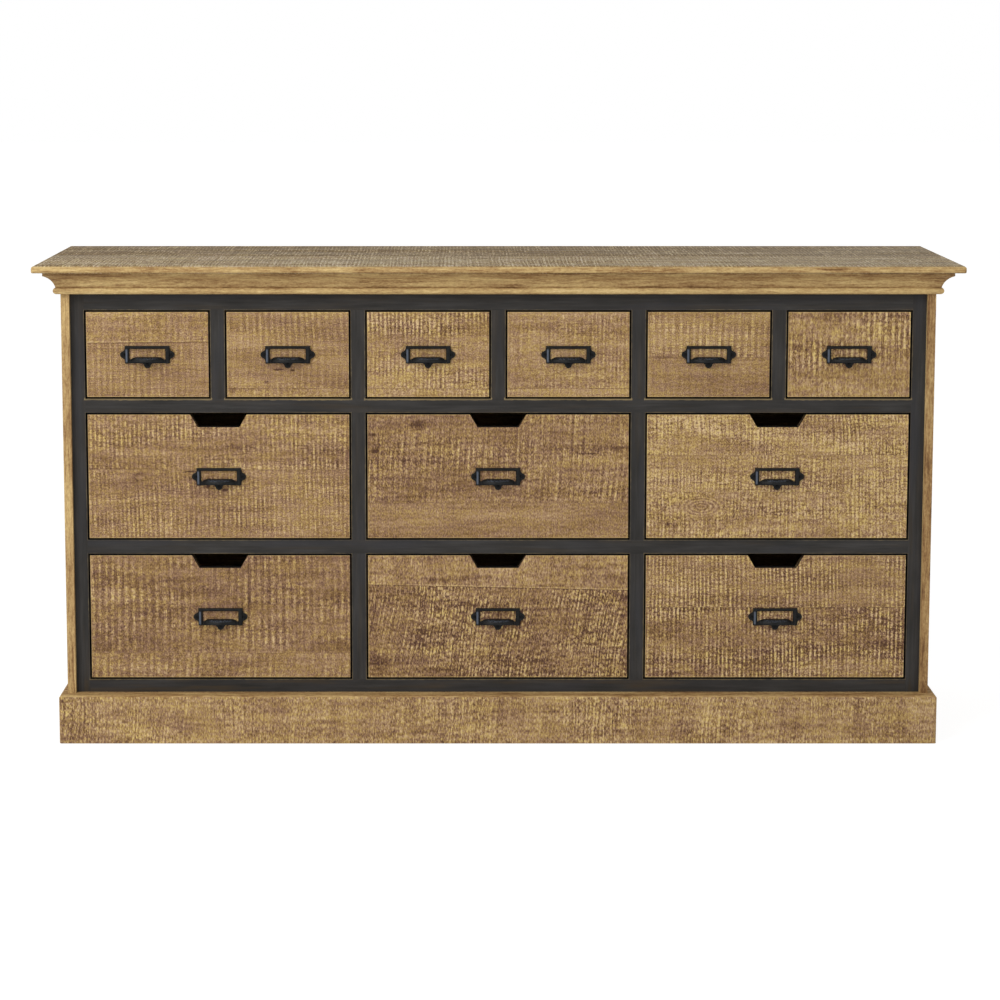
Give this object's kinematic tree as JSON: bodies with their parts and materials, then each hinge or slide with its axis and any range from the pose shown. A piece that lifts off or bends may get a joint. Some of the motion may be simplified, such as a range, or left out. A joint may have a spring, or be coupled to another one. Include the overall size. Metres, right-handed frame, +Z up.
{
  "type": "shop counter",
  "caption": "Free-standing wooden shop counter with a moulded top, a plinth, a dark face frame and rows of sliding drawers with label pulls and finger notches.",
  "frame": {"origin": "on the floor, under the middle of the top", "axes": "+X along the counter to the right as seen from its front, +Y to the back, +Z up; the drawers open towards -Y"},
  "size_m": [1.9, 0.5, 1],
  "materials": {
    "rough_sawn_wood": "rough sawn across the grain, stained and waxed, matt",
    "smooth_wood": "planed and waxed, satin",
    "inner_wood": "planed and left bare",
    "black_painted_wood": "black paint, matt, rubbed through along the edges",
    "black_iron": "cast, blackened and waxed",
    "screw_steel": "zinc plated"
  },
  "bodies": {
    "carcass": {"top_planks": "rough_sawn_wood", "cornice_front": "smooth_wood", "cornice_left": "smooth_wood", "cornice_right": "smooth_wood", "side_panel_left": "smooth_wood", "side_panel_right": "smooth_wood", "back_panel": "inner_wood", "floor_panel": "inner_wood", "frame_stiles": "black_painted_wood", "frame_rails": "black_painted_wood", "frame_mullions": "black_painted_wood", "partitions": "inner_wood", "drawer_runners": "inner_wood", "drawer_guides": "inner_wood", "drawer_stops": "inner_wood", "kicker_strips": "inner_wood", "top_battens": "inner_wood", "back_rails": "inner_wood", "plinth_front": "rough_sawn_wood", "plinth_ends": "rough_sawn_wood", "plinth_back": "inner_wood", "plinth_bearers": "inner_wood", "plinth_blocks": "inner_wood", "back_screws": "screw_steel"},
    "small_drawer_1": {"small_drawer_1_front": "rough_sawn_wood", "small_drawer_1_box": "inner_wood", "small_drawer_1_pull": "black_iron"},
    "small_drawer_2": {"small_drawer_2_front": "rough_sawn_wood", "small_drawer_2_box": "inner_wood", "small_drawer_2_pull": "black_iron"},
    "small_drawer_3": {"small_drawer_3_front": "rough_sawn_wood", "small_drawer_3_box": "inner_wood", "small_drawer_3_pull": "black_iron"},
    "small_drawer_4": {"small_drawer_4_front": "rough_sawn_wood", "small_drawer_4_box": "inner_wood", "small_drawer_4_pull": "black_iron"},
    "small_drawer_5": {"small_drawer_5_front": "rough_sawn_wood", "small_drawer_5_box": "inner_wood", "small_drawer_5_pull": "black_iron"},
    "small_drawer_6": {"small_drawer_6_front": "rough_sawn_wood", "small_drawer_6_box": "inner_wood", "small_drawer_6_pull": "black_iron"},
    "large_drawer_1": {"large_drawer_1_front": "rough_sawn_wood", "large_drawer_1_box": "inner_wood", "large_drawer_1_pull": "black_iron"},
    "large_drawer_2": {"large_drawer_2_front": "rough_sawn_wood", "large_drawer_2_box": "inner_wood", "large_drawer_2_pull": "black_iron"},
    "large_drawer_3": {"large_drawer_3_front": "rough_sawn_wood", "large_drawer_3_box": "inner_wood", "large_drawer_3_pull": "black_iron"},
    "large_drawer_4": {"large_drawer_4_front": "rough_sawn_wood", "large_drawer_4_box": "inner_wood", "large_drawer_4_pull": "black_iron"},
    "large_drawer_5": {"large_drawer_5_front": "rough_sawn_wood", "large_drawer_5_box": "inner_wood", "large_drawer_5_pull": "black_iron"},
    "large_drawer_6": {"large_drawer_6_front": "rough_sawn_wood", "large_drawer_6_box": "inner_wood", "large_drawer_6_pull": "black_iron"}
  },
  "joints": [
    {"name": "small_drawer_1_slide", "type": "slide", "parent": "carcass", "child": "small_drawer_1", "axis": [0, -1, 0], "range_m": [0, 0.32]},
    {"name": "small_drawer_2_slide", "type": "slide", "parent": "carcass", "child": "small_drawer_2", "axis": [0, -1, 0], "range_m": [0, 0.32]},
    {"name": "small_drawer_3_slide", "type": "slide", "parent": "carcass", "child": "small_drawer_3", "axis": [0, -1, 0], "range_m": [0, 0.32]},
    {"name": "small_drawer_4_slide", "type": "slide", "parent": "carcass", "child": "small_drawer_4", "axis": [0, -1, 0], "range_m": [0, 0.32]},
    {"name": "small_drawer_5_slide", "type": "slide", "parent": "carcass", "child": "small_drawer_5", "axis": [0, -1, 0], "range_m": [0, 0.32]},
    {"name": "small_drawer_6_slide", "type": "slide", "parent": "carcass", "child": "small_drawer_6", "axis": [0, -1, 0], "range_m": [0, 0.32]},
    {"name": "large_drawer_1_slide", "type": "slide", "parent": "carcass", "child": "large_drawer_1", "axis": [0, -1, 0], "range_m": [0, 0.32]},
    {"name": "large_drawer_2_slide", "type": "slide", "parent": "carcass", "child": "large_drawer_2", "axis": [0, -1, 0], "range_m": [0, 0.32]},
    {"name": "large_drawer_3_slide", "type": "slide", "parent": "carcass", "child": "large_drawer_3", "axis": [0, -1, 0], "range_m": [0, 0.32]},
    {"name": "large_drawer_4_slide", "type": "slide", "parent": "carcass", "child": "large_drawer_4", "axis": [0, -1, 0], "range_m": [0, 0.32]},
    {"name": "large_drawer_5_slide", "type": "slide", "parent": "carcass", "child": "large_drawer_5", "axis": [0, -1, 0], "range_m": [0, 0.32]},
    {"name": "large_drawer_6_slide", "type": "slide", "parent": "carcass", "child": "large_drawer_6", "axis": [0, -1, 0], "range_m": [0, 0.32]}
  ]
}
